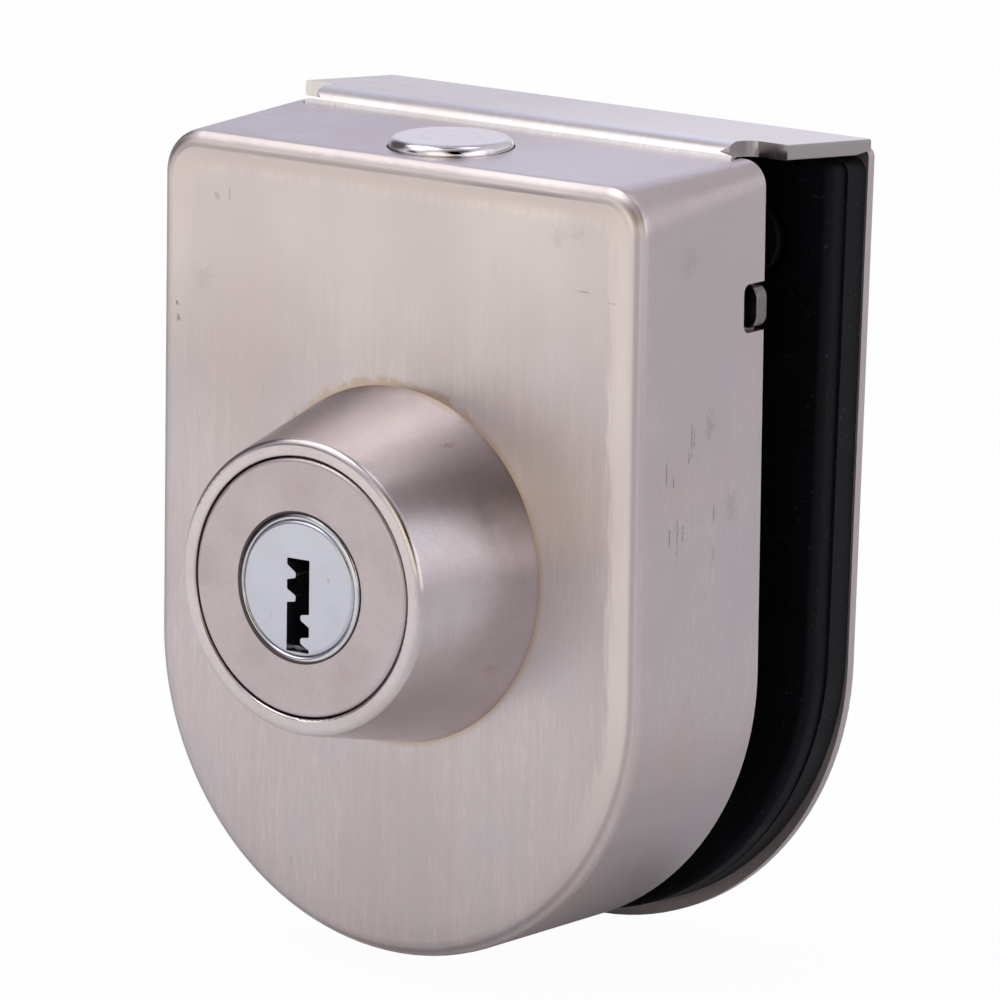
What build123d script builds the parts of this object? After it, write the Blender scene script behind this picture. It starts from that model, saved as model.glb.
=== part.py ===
"""Glass cabinet door lock: a key-driven bolt lock that clamps over the edge of a frameless glass door.

Millimetres, +Z up, the front is towards -Y. The origin is where the cylinder's axis meets the front of the
glass. Places called front and rear are Y values, and a smaller Y is nearer the front.
"""

from build123d import *
import math
import os

# Case cover, drawn from one sheet
case_width = 56.0
case_height = 76.0
case_depth = 19.6
case_wall = 1.0
case_edge_radius = 1.6
case_corner_radius = 4.5
case_rear_corner_radius = 2.4
case_top_rise = 0.3
axis_below_top = 38.4
window_height = 4.6
window_drop = 10.9
window_gap = 1.7
window_corner_radius = 0.8

# Glass clamp: bracket with front leg, bend and bridge
glass_thickness = 10.0
glass_play = 0.3
front_pad_thickness = 1.0
front_pad_margin = 1.2
front_pad_corner_radius = 3.2
bracket_sheet = 1.5
bend_inner_radius = 0.8
bend_rise = 1.7
bridge_slope = 5.0
bridge_overhang = 0.2
neck_inset = 3.1
relief_reach = 2.1
relief_undercut = 0.8
relief_radius = 1.2
relief_start = 0.35
relief_slit = 0.75
relief_slit_height = 0.35
end_lift = 0.55
end_lift_length = 2.8
sheared_edge_radius = 0.25
tab_height = 4.2
tab_proud = 0.4
tab_corner_radius = 1.3

# Back plate and its pad
back_plate_thickness = 1.3
back_lean = 2.2
back_drop = 2.0
back_step = 0.9
back_corner_radius = 0.9
back_edge_radius = 0.5
carrier_thickness = 2.9
back_pad_thickness = 2.5
back_pad_inset = 0.25
pad_bottom_inset = 1.3
back_pad_corner_radius = 1.5

# Clamp screws and their feet
clamp_inset = 9.4
clamp_drop = 9.0
clamp_screw_radius = 3.0
clamp_recess = 0.1
clamp_socket = 3.0
clamp_socket_depth = 2.4
clamp_dog_radius = 1.5
clamp_dog_length = 1.1
foot_radius = 3.5
foot_thickness = 2.2
foot_proud = 0.4
foot_edge_radius = 0.35
clamp_nut_across = 10.0
clamp_nut_height = 2.7

# Rose and cylinder
rose_base_radius = 16.9
rose_length = 14.3
rose_rim_radius = 13.9
rose_rim_rounding = 0.7
rose_ledge = 1.5
cap_radius = 12.2
cap_wall = 0.45
cap_face_thickness = 0.6
cap_edge_radius = 0.4
cap_gap = 0.15
nose_radius = 7.0
nose_rounding = 0.28
plug_head_radius = 6.4
plug_head_length = 1.6
plug_proud = 0.3
plug_rounding = 0.35
plug_radius = 5.9
neck_radius = 10.0
neck_reach = 10.1
neck_flat_depth = 1.4
nut_wall = 3.0
nut_height = 4.0
washer_thickness = 0.8
washer_inset = 0.2

# Keyway, as the plug's face shows it
keyway_width = 2.6
keyway_height = 8.8
keyway_above_axis = 2.8
keyway_depth = 20.5
ward_depth = 1.0
ward_tip_radius = 0.22
keyway_corner_radius = 0.12
left_ward_shares = ((0.075, 0.152, 0.208, 0.235), (0.335, 0.400, 0.462, 0.478))
right_ward_shares = ((0.582, 0.598, 0.655, 0.720), (0.827, 0.845, 0.905, 0.965))

# Pin tumblers
pin_count = 4
pin_radius = 1.15
pin_first = 2.9
pin_last_inset = 1.95
pin_row_height = 0.35
pin_tip_chamfer = 0.6
pin_end_chamfer = 0.3
driver_length = 2.2
spring_wire = 0.3
spring_turns = 4

# Crank on the plug's tail
tail_square = 6.0
cam_thickness = 2.0
cam_hub_radius = 8.2
crank_radius = 9.5
crank_eye_radius = 4.2
crank_pin_radius = 2.0
crank_rivet_radius = 1.5
cam_screw_radius = 1.5
cam_screw_length = 5.0
turn_range = 90.0

# Bolt and the plate that carries it
bolt_radius = 5.9
bolt_inset = 8.2
bolt_proud = 1.1
bolt_edge_radius = 0.9
bolt_above_nut = 1.3
bolt_guide_gap = 0.05
bolt_hole_gap = 0.12
tail_plate_thickness = 1.5
tail_bar_margin = 2.3
tail_slot_play = 0.35
tail_cover_margin = 1.0
tail_screw_radius = 1.2
tail_screw_length = 5.0

# Guide block, posts and countersunk screws
guide_width = 25.0
guide_rise = 3.7
guide_screw_inset = 3.5
post_radius = 3.0
post_inset = 11.0
post_drop = 11.4
case_screw_radius = 1.5
case_screw_length = 7.0

# Shared clearances
running_gap = 0.03
fit_gap = 0.05
loose_gap = 0.15
soft_gap = 0.3
overrun = 1.0

# Places worked out from the sizes
seat = 0.0
leg_rear = seat - front_pad_thickness
leg_front = leg_rear - bracket_sheet
case_rear = leg_rear
case_front = case_rear - case_depth
inner_front = case_front + case_wall
case_top = axis_below_top
inner_top = case_top - case_wall
case_half = case_width / 2
arc_height = case_top - case_height + case_half
inner_half = case_half - case_wall
leg_half = inner_half - loose_gap
neck_half = case_half - neck_inset
bridge_half = case_half + bridge_overhang

bend_outer_radius = bend_inner_radius + bracket_sheet
bend_height = case_top + bend_rise - bend_outer_radius
bend_y = leg_rear + bend_inner_radius
slope = math.radians(bridge_slope)
pad_stack = carrier_thickness + back_pad_thickness
back_front = seat + glass_thickness + glass_play + pad_stack
back_rear = back_front + back_plate_thickness
bridge_end_top = bend_height + bend_outer_radius - (back_front - bend_y) * math.tan(slope)
bridge_end_under = bridge_end_top - bracket_sheet / math.cos(slope)
back_top = bridge_end_top - back_step
back_arc_height = arc_height - back_drop
pad_top = bridge_end_under - soft_gap
clamp_spacing = case_width - 2 * clamp_inset
clamp_height = back_top - clamp_drop
post_spacing = case_width - 2 * post_inset
post_height = arc_height - post_drop
guide_screw_spacing = guide_width - 2 * guide_screw_inset

rose_front = case_front - rose_length
ledge_front = case_front - rose_ledge
plug_front = rose_front - plug_proud
neck_rear = case_front + neck_reach
neck_flat = neck_radius - neck_flat_depth
nut_across = 2 * (neck_radius + nut_wall)
washer_radius = nut_across / 2 - washer_inset
cap_inner_radius = cap_radius - cap_wall
body_radius = cap_inner_radius - fit_gap
rose_bore_radius = cap_radius + cap_gap
plug_head_rear = plug_front + plug_head_length
plug_rear = neck_rear + loose_gap
pin_pitch = (ledge_front - pin_last_inset - plug_front - pin_first) / (pin_count - 1)
cam_front = plug_rear
cam_rear = cam_front + cam_thickness

throw = 2 * crank_radius * math.sin(math.radians(turn_range / 2))
crank_drop = throw / 2
tail_front = cam_rear + soft_gap
tail_rear = tail_front + tail_plate_thickness
bolt_y = case_front + bolt_inset
bolt_bottom = nut_across / 2 + bolt_above_nut
tail_top = case_top - throw - tail_cover_margin
bolt_flat_half = math.sqrt(bolt_radius**2 - (tail_front - bolt_y) ** 2)
guide_bottom = bolt_bottom + guide_rise
tail_screw_pitch = (tail_top - bolt_bottom) / 2


def slab(outline, front, rear):
    """Solid between two Y places, from an outline drawn with X across and Z up."""
    return extrude(Plane.XZ.offset(-rear) * outline, amount=rear - front)


def turned(*points):
    """Solid of revolution about the cylinder's axis, from points of radius and Y."""
    return revolve(make_face(Polyline(*points, close=True)), Axis.Y)


def d_outline(half, top, arc, corner):
    """D outline: straight sides down to a half circle, with two rounded top corners."""
    block = Pos(0, (top + arc) / 2) * Rectangle(2 * half, top - arc)
    outline = block + Pos(0, arc) * Circle(half)
    corners = outline.vertices().group_by(Axis.Y)[-1]
    return fillet(corners, corner)


def disc(x, z, radius):
    """Round outline at a place on the lock's face."""
    return Pos(x, z) * Circle(radius)


def span(low, high, bottom, top):
    """Rectangular outline between two X and two Z places."""
    return Pos((low + high) / 2, (bottom + top) / 2) * Rectangle(high - low, top - bottom)


def on_both_sides(solid):
    """The solid and its mirror image across the lock's middle."""
    return solid + mirror(solid, Plane.YZ)


def leaned(solid):
    """Turn a piece of the back plate's stack in by the plate's lean, about the end of the bridge."""
    return solid.rotate(Axis((0, back_front, back_top), (1, 0, 0)), -back_lean)


def countersunk(x, z, radius, rear, length, gap):
    """Countersunk screw, or with a gap its hole, with its head flush at the rear place."""
    head = 2 * radius
    shape = turned(
        (0, rear - length),
        (radius + gap, rear - length),
        (radius + gap, rear - radius),
        (head + gap, rear),
        (0, rear),
    )
    return Pos(x, 0, z) * shape


def drawn(wall):
    """Solid inside the cover's skin: its corners tighten and its top rises towards the glass."""
    front = case_front + wall
    outlines = []
    for y, top, corner in (
        (front, case_top, case_corner_radius),
        (case_rear, case_top + case_top_rise, case_rear_corner_radius),
    ):
        outline = d_outline(case_half - wall, top - wall, arc_height, corner - wall)
        outlines.append(Plane.XZ.offset(-y) * outline)
    solid = loft(outlines, ruled=True)
    return fillet(solid.faces().sort_by(Axis.Y)[0].edges(), case_edge_radius - wall)


def case_cover():
    """Deep drawn cover with a rolled front edge, open towards the glass."""
    cover = drawn(0) - drawn(case_wall)
    bolt_hole = Pos(0, bolt_y, case_top) * Cylinder(bolt_radius + bolt_hole_gap, 4 * case_wall)
    neck_hole = slab(neck_outline(loose_gap), case_front - overrun, inner_front + overrun)
    notch = slab(
        span(-neck_half - loose_gap, neck_half + loose_gap, inner_top - overrun, case_top + overrun),
        leg_front - loose_gap,
        case_rear + overrun,
    )
    window_top = case_top - window_drop
    window = slab(
        span(inner_half - overrun, case_half + overrun, window_top - window_height, window_top),
        leg_front - window_gap,
        case_rear + overrun,
    )
    front_edges = window.edges().filter_by(Axis.X).group_by(Axis.Y)[0]
    window = fillet(front_edges, window_corner_radius)
    return cover - bolt_hole - neck_hole - notch - on_both_sides(window)


def neck_outline(gap):
    """Cylinder neck with two flats that stop it turning in the case."""
    return disc(0, 0, neck_radius + gap) & Rectangle(2 * (neck_flat + gap), 3 * neck_radius)


def rose():
    """Turned cone whose ledge is trapped between the cylinder's shoulder and the case."""
    cone = turned(
        (neck_radius + loose_gap, case_front),
        (rose_base_radius, case_front),
        (rose_rim_radius, rose_front),
        (rose_bore_radius, rose_front),
        (rose_bore_radius, ledge_front),
        (neck_radius + loose_gap, ledge_front),
    )
    rim = cone.edges().filter_by(GeomType.CIRCLE).group_by(Axis.Y)[0].sort_by(SortBy.RADIUS)
    cone = fillet(rim[-1], rose_rim_rounding)
    rim = cone.edges().filter_by(GeomType.CIRCLE).group_by(Axis.Y)[0].sort_by(SortBy.RADIUS)
    return fillet(rim[0], rose_rim_rounding / 3)


def cylinder_cap():
    """Thin cup over the cylinder: it closes the pin chambers and shows as the flat face ring."""
    face_rear = rose_front + cap_face_thickness
    cup = turned(
        (nose_radius + fit_gap, rose_front),
        (cap_radius, rose_front),
        (cap_radius, ledge_front - loose_gap),
        (cap_inner_radius, ledge_front - loose_gap),
        (cap_inner_radius, face_rear),
        (nose_radius + fit_gap, face_rear),
    )
    rim = cup.edges().filter_by(GeomType.CIRCLE).group_by(Axis.Y)[0].sort_by(SortBy.RADIUS)
    return fillet(rim[-1], cap_edge_radius)


def pin_places():
    """Y places of the pin chambers."""
    return [plug_front + pin_first + pin_pitch * number for number in range(pin_count)]


def chamber(y, start, end):
    """Pin chamber across the lock between two X places."""
    return Pos((start + end) / 2, y, pin_row_height) * Rot(0, 90, 0) * Cylinder(
        pin_radius + running_gap, end - start
    )


def cylinder_body():
    """Chromed cylinder: nose ring, pin chambers, shoulder and flatted neck."""
    shoulder_front = rose_front + cap_face_thickness + fit_gap
    head_bore = plug_head_radius + running_gap
    bore = plug_radius + running_gap
    body = turned(
        (head_bore, plug_front),
        (nose_radius, plug_front),
        (nose_radius, shoulder_front),
        (body_radius, shoulder_front),
        (body_radius, ledge_front),
        (neck_radius, ledge_front),
        (neck_radius, neck_rear),
        (bore, neck_rear),
        (bore, plug_head_rear + running_gap),
        (head_bore, plug_head_rear + running_gap),
    )
    nose = body.edges().filter_by(GeomType.CIRCLE).group_by(Axis.Y)[0]
    body = fillet(nose, nose_rounding)
    for y in pin_places():
        body -= chamber(y, 0.9 * plug_radius, body_radius + overrun)
    beyond = slab(span(neck_flat, 2 * neck_radius, -neck_radius, neck_radius), ledge_front, neck_rear)
    return body - on_both_sides(beyond)


def keyway_outline():
    """Warded keyway in the plug's face: two wards hang from each side."""
    half = keyway_width / 2
    points = [(-half, keyway_above_axis)]
    for foot, tip, tip_end, end in left_ward_shares:
        for share, inward in ((foot, 0), (tip, ward_depth), (tip_end, ward_depth), (end, 0)):
            points.append((-half + inward, keyway_above_axis - share * keyway_height))
    points.append((-half, keyway_above_axis - keyway_height))
    points.append((half, keyway_above_axis - keyway_height))
    for foot, tip, tip_end, end in reversed(right_ward_shares):
        for share, inward in ((end, 0), (tip_end, ward_depth), (tip, ward_depth), (foot, 0)):
            points.append((half - inward, keyway_above_axis - share * keyway_height))
    points.append((half, keyway_above_axis))
    outline = make_face(Polyline(*points, close=True))
    inner = half - ward_depth / 2
    tips = [corner for corner in outline.vertices() if abs(corner.X) < inner]
    outline = fillet(tips, ward_tip_radius)
    feet = [corner for corner in outline.vertices() if abs(corner.X) > half - fit_gap]
    return fillet(feet, keyway_corner_radius)


def plug():
    """Plug with its warded keyway, pin bores and square tail."""
    shape = turned(
        (0, plug_front),
        (plug_head_radius, plug_front),
        (plug_head_radius, plug_head_rear),
        (plug_radius, plug_head_rear),
        (plug_radius, plug_rear),
        (0, plug_rear),
    )
    shape = fillet(shape.edges().filter_by(GeomType.CIRCLE).group_by(Axis.Y)[0], plug_rounding)
    shape += slab(Rectangle(tail_square, tail_square), plug_rear - overrun, cam_rear)
    shape -= slab(keyway_outline(), plug_front - overrun, plug_front + keyway_depth)
    for y in pin_places():
        shape -= chamber(y, 0, plug_radius + overrun)
    return shape - countersunk(0, 0, cam_screw_radius, cam_rear, cam_screw_length + fit_gap, fit_gap)


def pin(start, length, y, tip):
    """One pin along X, with its inner tip and its outer end chamfered."""
    shape = Pos(start + length / 2, y, pin_row_height) * Rot(0, 90, 0) * Cylinder(pin_radius, length)
    rims = shape.edges().filter_by(GeomType.CIRCLE).sort_by(Axis.X)
    shape = chamfer(rims[0], tip)
    rims = shape.edges().filter_by(GeomType.CIRCLE).sort_by(Axis.X)
    return chamfer(rims[-1], pin_end_chamfer)


def key_pins():
    """Pins in the plug, standing at the shear line."""
    start = keyway_width / 2 + fit_gap
    return [pin(start, plug_radius - fit_gap - start, y, pin_tip_chamfer) for y in pin_places()]


def driver_pins():
    """Pins in the cylinder body, just outside the shear line."""
    start = plug_radius + 2 * running_gap
    return [pin(start, driver_length, y, pin_end_chamfer) for y in pin_places()]


def pin_springs():
    """Coils that push the drivers in, each one tube along a helix."""
    start = plug_radius + 2 * running_gap + driver_length + spring_wire
    length = body_radius - fit_gap - spring_wire - start
    coil_radius = pin_radius - spring_wire / 2 - running_gap
    pitch = length / spring_turns
    print("pin spring: gap between turns", round(pitch - spring_wire, 2))
    coils = []
    for y in pin_places():
        path = Helix(pitch, length, coil_radius, center=(start, y, pin_row_height), direction=(1, 0, 0))
        wire = Plane(origin=path @ 0, z_dir=path % 0) * Circle(spring_wire / 2)
        coils.append(sweep(wire, path=path))
    return coils


def nut_washer():
    """Washer between the case and the cylinder's nut."""
    return slab(
        disc(0, 0, washer_radius) - disc(0, 0, neck_radius + fit_gap),
        inner_front,
        inner_front + washer_thickness,
    )


def cylinder_nut():
    """Hexagon nut that draws the cylinder and the rose against the case."""
    front = inner_front + washer_thickness
    rear = front + nut_height
    hexagon = RegularPolygon(nut_across / 2, 6, major_radius=False)
    blank = slab(hexagon - disc(0, 0, neck_radius + fit_gap), front, rear)
    corner = nut_across / math.sqrt(3)
    bevel = corner - nut_across / 2
    crown = turned(
        (0, front),
        (corner, front),
        (corner, rear - bevel / 2),
        (corner - bevel, rear),
        (0, rear),
    )
    return blank & crown


def crank_place(share):
    """X and Z of the crank pin at a share of the plug's turn."""
    angle = math.radians(180 + turn_range / 2 - share * turn_range)
    return crank_radius * math.cos(angle), crank_radius * math.sin(angle)


def cam():
    """Crank plate on the plug's square tail: a hub and an eye, joined by their tangents."""
    x, z = crank_place(0)
    hub = disc(0, 0, cam_hub_radius)
    eye = disc(x, z, crank_eye_radius)
    outline = make_hull(hub.edges() + eye.edges())
    hole = Rectangle(tail_square + 2 * fit_gap, tail_square + 2 * fit_gap)
    return slab(outline - hole - disc(x, z, crank_rivet_radius), cam_front, cam_rear)


def crank_pin():
    """Shouldered pin riveted in the crank's eye, which runs in the tail's cross slot."""
    x, z = crank_place(0)
    shape = turned(
        (0, cam_front),
        (crank_rivet_radius, cam_front),
        (crank_rivet_radius, cam_rear),
        (crank_pin_radius, cam_rear),
        (crank_pin_radius, tail_rear + soft_gap),
        (0, tail_rear + soft_gap),
    )
    return Pos(x, 0, z) * shape


def cam_screw():
    """Screw that holds the crank on the plug: its head lies on the square tail."""
    return countersunk(0, 0, cam_screw_radius, cam_rear, cam_screw_length, 0)


def bolt():
    """Round bolt with a rolled end, and a flat at its foot for the tail plate."""
    top = case_top + bolt_proud
    shape = Pos(0, bolt_y, (bolt_bottom + top) / 2) * Cylinder(bolt_radius, top - bolt_bottom)
    shape = fillet(shape.edges().filter_by(GeomType.CIRCLE).sort_by(Axis.Z)[-1], bolt_edge_radius)
    flat = slab(
        span(-bolt_radius, bolt_radius, bolt_bottom - overrun, tail_top + loose_gap),
        tail_front,
        tail_front + bolt_radius,
    )
    shape -= flat
    for z in tail_screw_places():
        shape -= countersunk(0, z, tail_screw_radius, tail_rear, tail_screw_length + fit_gap, fit_gap)
    return shape


def tail_screw_places():
    """Heights of the two screws that hold the tail plate."""
    return [bolt_bottom + tail_screw_pitch * share for share in (1 / 2, 3 / 2)]


def bolt_tail():
    """Plate with an upright web and a cross slot that the crank pin slides along."""
    slot_height = 2 * (crank_pin_radius + tail_slot_play)
    slot_length = 2 * (crank_radius + crank_pin_radius + 2 * tail_slot_play)
    bar_height = slot_height + 2 * tail_bar_margin
    bar_length = slot_length + 2 * tail_bar_margin
    half = bolt_flat_half - fit_gap
    bar = Pos(0, -crank_drop) * RectangleRounded(bar_length, bar_height, tail_bar_margin)
    outline = bar + span(-half, half, -crank_drop, tail_top)
    outline -= Pos(0, -crank_drop) * SlotOverall(slot_length, slot_height)
    plate = slab(outline, tail_front, tail_rear)
    for z in tail_screw_places():
        plate -= countersunk(0, z, tail_screw_radius, tail_rear, tail_screw_length, fit_gap)
    return plate


def tail_screws():
    """Two countersunk screws through the tail plate into the bolt."""
    return [
        countersunk(0, z, tail_screw_radius, tail_rear, tail_screw_length, 0)
        for z in tail_screw_places()
    ]


def guide_screw_places():
    """X and Z of the screws that hold the guide block."""
    middle = (guide_bottom + inner_top) / 2
    return [(side * guide_screw_spacing / 2, middle) for side in (-1, 1)]


def post_places():
    """X and Z of the pillars inside the cover."""
    return [(side * post_spacing / 2, post_height) for side in (-1, 1)]


def bolt_guide():
    """Block behind the case's top with the bolt's bore and a channel for the tail plate."""
    half = guide_width / 2
    block = slab(
        span(-half, half, guide_bottom, inner_top - loose_gap), inner_front + loose_gap, leg_front
    )
    block = chamfer(block.faces().sort_by(Axis.Y)[0].edges(), case_edge_radius)
    bore = Pos(0, bolt_y, guide_bottom) * Cylinder(bolt_radius + bolt_guide_gap, 4 * case_height)
    channel_half = bolt_flat_half + loose_gap
    channel = slab(
        span(-channel_half, channel_half, guide_bottom - overrun, case_top),
        bolt_y,
        tail_rear + soft_gap,
    )
    block = block - bore - channel
    for x, z in guide_screw_places():
        block -= countersunk(x, z, case_screw_radius, leg_rear, case_screw_length + fit_gap, fit_gap)
    return block


def guide_screws():
    """Screws through the bracket's leg into the guide block."""
    return [
        countersunk(x, z, case_screw_radius, leg_rear, case_screw_length, 0)
        for x, z in guide_screw_places()
    ]


def cover_posts():
    """Pillars welded inside the cover, tapped for the cover's screws."""
    posts = []
    for x, z in post_places():
        post = slab(disc(x, z, post_radius), inner_front, leg_front)
        hole = countersunk(x, z, case_screw_radius, leg_rear, case_screw_length + fit_gap, fit_gap)
        posts.append(post - hole)
    return posts


def cover_screws():
    """Screws through the bracket's leg into the cover's pillars."""
    return [
        countersunk(x, z, case_screw_radius, leg_rear, case_screw_length, 0) for x, z in post_places()
    ]


def bridge_profile():
    """Side outline of the bend and the bridge, drawn with Y across and Z up."""
    centre = Vector(bend_y, bend_height)
    along = Vector(math.cos(slope), -math.sin(slope))
    across = Vector(math.sin(slope), math.cos(slope))
    middle = math.radians(180 + 90 - bridge_slope) / 2
    halfway = Vector(math.cos(middle), math.sin(middle))
    reach = back_front - bend_y + overrun
    outer_start = centre + Vector(-bend_outer_radius, 0)
    outer_end = centre + across * bend_outer_radius
    inner_end = centre + across * bend_inner_radius
    inner_start = centre + Vector(-bend_inner_radius, 0)
    edges = [
        ThreePointArc(outer_start, centre + halfway * bend_outer_radius, outer_end),
        Line(outer_end, outer_end + along * reach),
        Line(outer_end + along * reach, inner_end + along * reach),
        Line(inner_end + along * reach, inner_end),
        ThreePointArc(inner_end, centre + halfway * bend_inner_radius, inner_start),
        Line(inner_start, outer_start),
    ]
    return make_face(edges)


def clamp_bracket():
    """Bent sheet: front leg with its side tabs, bend with relief notches, and sloping bridge."""
    leg_top = inner_top - loose_gap
    corner = case_corner_radius - case_wall
    leg = slab(d_outline(leg_half, leg_top, arc_height, corner), leg_front, leg_rear)
    leg += slab(span(-neck_half, neck_half, leg_top - 2 * corner, bend_height), leg_front, leg_rear)
    bridge = extrude(Plane.YZ * bridge_profile(), amount=bridge_half, both=True)
    sheared_ends = bridge.faces().sort_by(Axis.X)
    bridge = fillet(sheared_ends[0].edges() + sheared_ends[-1].edges(), sheared_edge_radius)
    bridge -= on_both_sides(relief_notch())
    bridge -= end_cut()
    bridge -= on_both_sides(end_relief())
    bracket = leg + on_both_sides(side_tab()) + bridge
    for x, z in guide_screw_places() + post_places():
        bracket -= countersunk(x, z, case_screw_radius, leg_rear, case_screw_length, fit_gap)
    return bracket


def side_tab():
    """Tab on the leg's right edge that fits the cover's window, with a sheared, rounded end."""
    middle = case_top - window_drop - window_height / 2
    root = inner_half - overrun
    end = case_half + tab_proud
    outline = span(root, end, middle - tab_height / 2, middle + tab_height / 2)
    corners = outline.vertices().group_by(Axis.X)[-1]
    tab = slab(fillet(corners, tab_corner_radius), leg_front, leg_rear)
    rims = [edge for edge in tab.edges().filter_by(Axis.Y, reverse=True) if edge.center().X > root]
    return fillet(rims, sheared_edge_radius)


def relief_notch():
    """Notch at the end of the bend, cut so that the sheet can be bent without tearing."""
    beyond = bridge_half + overrun
    first = leg_front - overrun
    inner = neck_half - relief_undercut
    start = leg_front + relief_start
    outline = Pos((neck_half + beyond) / 2, (first + relief_reach) / 2) * Rectangle(
        beyond - neck_half, relief_reach - first
    )
    under = Polyline(
        (beyond, start),
        (neck_half, start),
        (inner - relief_slit, start + relief_slit_height / 2),
        (inner, start + 2 * relief_slit_height),
        (inner, relief_reach),
        (beyond, relief_reach),
        close=True,
    )
    under = make_face(under)
    corner = under.vertices().sort_by_distance((inner, relief_reach))[0]
    outline += fillet(corner, relief_radius)
    low = bend_height - bracket_sheet
    return extrude(Plane.XY.offset(low) * outline, amount=3 * bend_outer_radius)


def end_cut():
    """Everything behind the back plate's front face, to trim the bridge to it."""
    outline = span(-case_width, case_width, back_top - case_half, back_top + case_half)
    return leaned(slab(outline, back_front, 2 * back_front))


def end_relief():
    """Wedge off the underside of the bridge's rear corner."""
    start = back_front - end_lift_length
    under_start = bridge_end_under + end_lift_length * math.tan(slope)
    wedge = make_face(
        Polyline(
            (start, under_start),
            (back_front + overrun, bridge_end_under + end_lift),
            (back_front + overrun, bridge_end_under - overrun),
            (start, bridge_end_under - overrun),
            close=True,
        )
    )
    solid = extrude(Plane.YZ * wedge, amount=bridge_half + overrun)
    return solid - Pos(0, back_front, bridge_end_under) * Box(
        2 * neck_half, 2 * case_width, 2 * case_width
    )


def front_pad():
    """Thin pad between the bracket's leg and the glass."""
    half = leg_half - front_pad_margin
    top = bend_height - fit_gap
    return slab(d_outline(half, top, arc_height, front_pad_corner_radius), leg_rear, seat)


def clamp_places():
    """X places of the two clamp screws."""
    return {"left": -clamp_spacing / 2, "right": clamp_spacing / 2}


def back_plate():
    """D-shaped plate behind the glass, holed for the clamp screws."""
    plate = slab(
        d_outline(case_half, back_top, back_arc_height, back_corner_radius), back_front, back_rear
    )
    plate = fillet(plate.faces().sort_by(Axis.Y)[-1].edges(), back_edge_radius)
    for x in clamp_places().values():
        plate -= slab(disc(x, clamp_height, clamp_screw_radius + loose_gap), back_front, back_rear)
    return leaned(plate)


def clamp_nuts():
    """Hexagon nuts welded to the back plate, hidden in the carrier."""
    nuts = []
    for x in clamp_places().values():
        hexagon = Pos(x, clamp_height) * RegularPolygon(clamp_nut_across / 2, 6, major_radius=False)
        outline = hexagon - disc(x, clamp_height, clamp_screw_radius + fit_gap)
        nuts.append(leaned(slab(outline, back_front - clamp_nut_height, back_front)))
    return nuts


def pad_outline(inset):
    """Outline of the black pad, set in from the plate's edge."""
    half = case_half - inset
    arc = back_arc_height - inset + pad_bottom_inset
    return d_outline(half, pad_top, arc, back_pad_corner_radius)


def pad_carrier():
    """Rigid black layer on the back plate, with pockets for the nuts."""
    front = back_front - carrier_thickness
    carrier = slab(pad_outline(back_pad_inset), front, back_front)
    for x in clamp_places().values():
        pocket = Pos(x, clamp_height) * RegularPolygon(
            clamp_nut_across / 2 + loose_gap, 6, major_radius=False
        )
        carrier -= slab(pocket, back_front - clamp_nut_height - loose_gap, back_front)
        carrier -= slab(disc(x, clamp_height, foot_radius + loose_gap), front, back_front)
    return leaned(carrier)


def back_pad():
    """Soft black layer that faces the glass, holed for the feet."""
    rear = back_front - carrier_thickness
    pad = slab(pad_outline(2 * back_pad_inset), rear - back_pad_thickness, rear)
    for x in clamp_places().values():
        pad -= slab(disc(x, clamp_height, foot_radius + loose_gap), rear - back_pad_thickness, rear)
    return leaned(pad)


def clamp_foot(x):
    """Round pressure foot with a socket for the screw's point."""
    front = back_front - pad_stack - foot_proud
    rear = front + foot_thickness
    foot = slab(disc(x, clamp_height, foot_radius), front, rear)
    foot = fillet(foot.faces().sort_by(Axis.Y)[0].edges(), foot_edge_radius)
    socket = disc(x, clamp_height, clamp_dog_radius + fit_gap)
    return leaned(foot - slab(socket, rear - clamp_dog_length - fit_gap, rear))


def clamp_screw(x):
    """Grub screw with a hexagon socket at the back and a point that turns in the foot."""
    shoulder = back_front - pad_stack - foot_proud + foot_thickness + fit_gap
    rear = back_rear - clamp_recess
    shape = turned(
        (0, shoulder - clamp_dog_length),
        (clamp_dog_radius, shoulder - clamp_dog_length),
        (clamp_dog_radius, shoulder),
        (clamp_screw_radius, shoulder),
        (clamp_screw_radius, rear),
        (0, rear),
    )
    socket = RegularPolygon(clamp_socket / 2, 6, major_radius=False)
    shape -= slab(socket, rear - clamp_socket_depth, rear)
    return leaned(Pos(x, 0, clamp_height) * shape)


def build():
    """Every piece of the lock by name."""
    pieces = {
        "case_cover": case_cover(),
        "cover_posts": cover_posts(),
        "cover_screws": cover_screws(),
        "rose": rose(),
        "cylinder_cap": cylinder_cap(),
        "cylinder_body": cylinder_body(),
        "cylinder_nut": cylinder_nut(),
        "nut_washer": nut_washer(),
        "driver_pins": driver_pins(),
        "pin_springs": pin_springs(),
        "clamp_bracket": clamp_bracket(),
        "bolt_guide": bolt_guide(),
        "guide_screws": guide_screws(),
        "front_pad": front_pad(),
        "back_plate": back_plate(),
        "clamp_nuts": clamp_nuts(),
        "pad_carrier": pad_carrier(),
        "back_pad": back_pad(),
        "plug": plug(),
        "key_pins": key_pins(),
        "cam": cam(),
        "crank_pin": crank_pin(),
        "cam_screw": cam_screw(),
        "bolt": bolt(),
        "bolt_tail": bolt_tail(),
        "tail_screws": tail_screws(),
    }
    for side, x in clamp_places().items():
        pieces[f"clamp_foot_{side}"] = clamp_foot(x)
        pieces[f"clamp_screw_{side}"] = clamp_screw(x)
    return pieces


def main():
    """Write one file for each piece."""
    os.makedirs("parts", exist_ok=True)
    for name, piece in build().items():
        solids = piece if isinstance(piece, list) else [piece]
        export_step(Compound(children=solids), f"parts/{name}.step")


main()
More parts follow.
